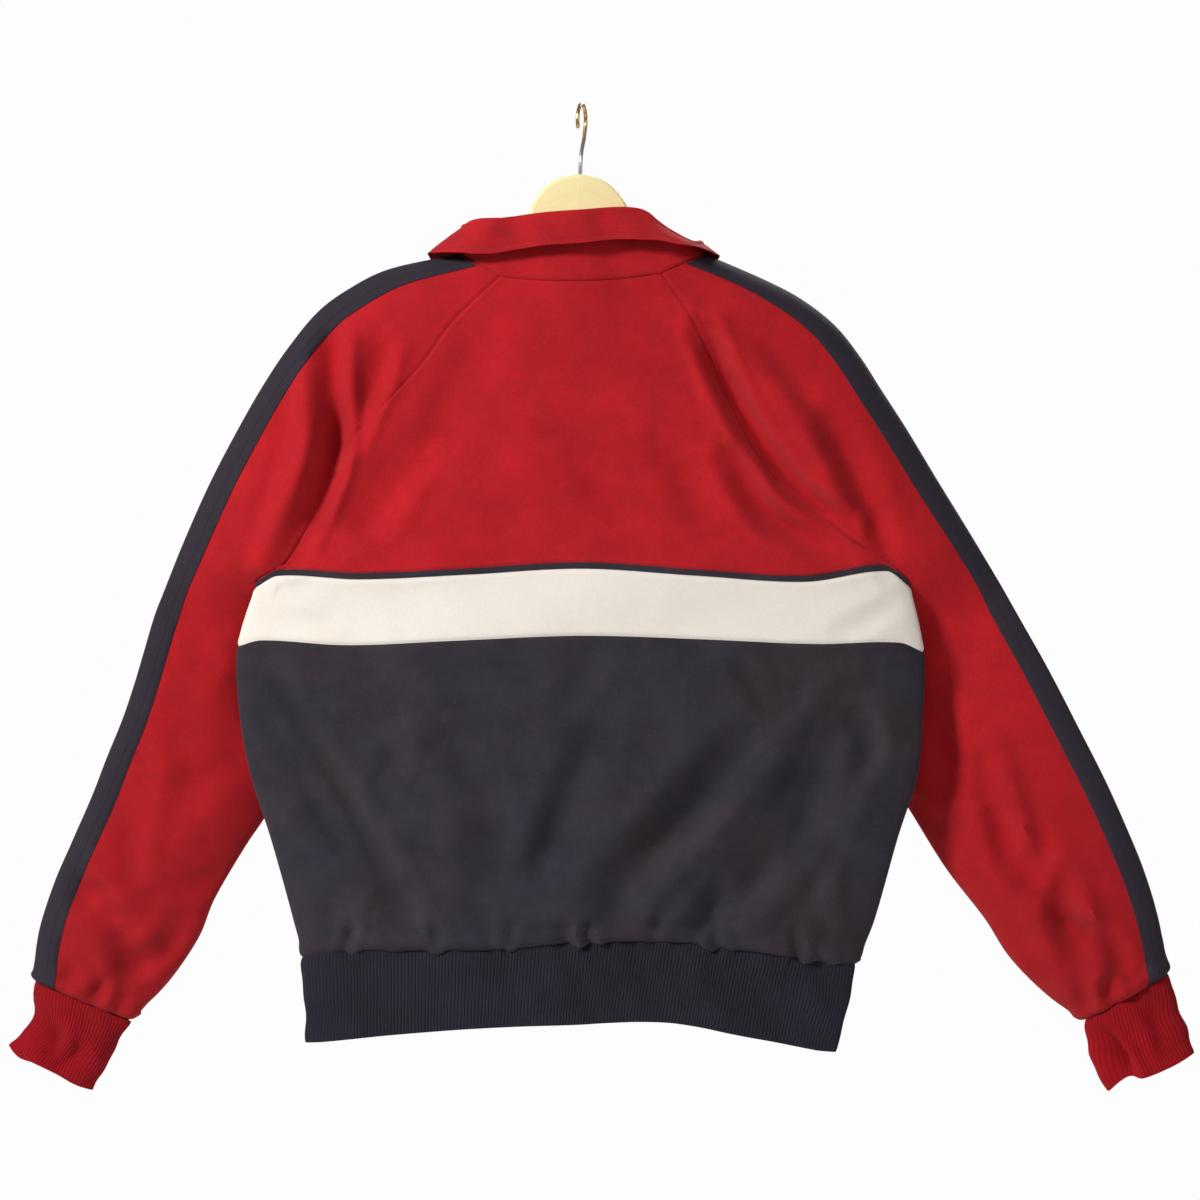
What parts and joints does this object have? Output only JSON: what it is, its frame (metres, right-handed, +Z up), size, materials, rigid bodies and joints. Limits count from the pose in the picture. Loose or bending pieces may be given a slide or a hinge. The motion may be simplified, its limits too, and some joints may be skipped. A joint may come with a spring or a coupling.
{
  "type": "track jacket on a wooden hanger",
  "caption": "Zipped raglan track jacket with fold-over collar, banded back and ribbed hem and cuffs, hanging open below on a wooden hanger with a wire hook.",
  "frame": {"origin": "inside of the hook's crown, where a rail holds the hanger", "axes": "+Z up; the jacket's back faces -Y and its zipped front +Y; +X is the wearer's right"},
  "size_m": [1.012, 0.1008, 0.8421],
  "materials": {
    "red_jersey": "brushed knitted jersey",
    "navy_jersey": "brushed knitted jersey",
    "white_jersey": "brushed knitted jersey",
    "navy_rib": "ribbed knit",
    "red_rib": "ribbed knit",
    "sleeve_tape": "knitted tape",
    "zip_tape": "woven tape",
    "zip_teeth": "moulded teeth",
    "zip_metal": "nickel",
    "hanger_wood": "pale satin wood",
    "hook_metal": "pale brassed wire"
  },
  "bodies": {
    "jacket": {"back_yoke": "red_jersey", "back_piping": "navy_jersey", "back_band": "white_jersey", "back_lower": "navy_jersey", "front_yoke_left": "red_jersey", "front_yoke_right": "red_jersey", "front_piping_left": "navy_jersey", "front_piping_right": "navy_jersey", "front_band_left": "white_jersey", "front_band_right": "white_jersey", "front_lower_left": "navy_jersey", "front_lower_right": "navy_jersey", "hem_rib": "navy_rib", "sleeve_left": "red_jersey", "sleeve_right": "red_jersey", "sleeve_tape_left": "sleeve_tape", "sleeve_tape_right": "sleeve_tape", "cuff_left": "red_rib", "cuff_right": "red_rib", "collar": "red_jersey", "zip_tape_left": "zip_tape", "zip_tape_right": "zip_tape", "zip_chain": "zip_teeth", "zip_slider": "zip_metal", "hanger_wood": "hanger_wood", "hanger_hook": "hook_metal"},
    "pull": {"zip_pull": "zip_metal"}
  },
  "joints": [
    {"name": "pull_swing", "type": "hinge", "parent": "jacket", "child": "pull", "pos_m": [0, 0.0251, -0.231], "axis": [1, 0, 0], "range_deg": [0, 150]}
  ]
}
